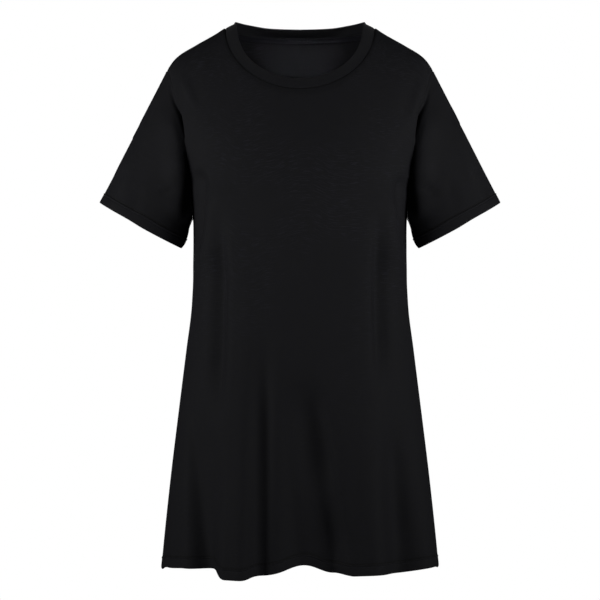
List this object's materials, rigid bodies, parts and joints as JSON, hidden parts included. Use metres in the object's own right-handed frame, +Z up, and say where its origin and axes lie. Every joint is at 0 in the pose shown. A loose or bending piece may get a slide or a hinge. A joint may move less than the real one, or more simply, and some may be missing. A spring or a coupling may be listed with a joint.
{
  "type": "t-shirt dress",
  "caption": "Short-sleeved T-shirt dress in black jersey with a ribbed crew neck and a flared skirt, hollow and open as when worn.",
  "frame": {"origin": "middle of the neck base, level with the inner ends of the shoulder seams and in their plane, where the wearer's shoulders hold the dress up", "axes": "+Z up, the front faces -Y, +X is the wearer's left"},
  "size_m": [0.6412, 0.3096, 0.8744],
  "materials": {
    "black_jersey": "matte fine cotton jersey knit",
    "black_rib": "matte fine rib knit",
    "black_twill": "matte twill tape"
  },
  "bodies": {
    "root": {"front_panel_top": "black_jersey", "front_panel_skirt": "black_jersey", "back_panel_top": "black_jersey", "back_panel_skirt": "black_jersey", "sleeve_left": "black_jersey", "sleeve_right": "black_jersey", "neck_band": "black_rib", "neck_tape": "black_twill"}
  },
  "joints": []
}
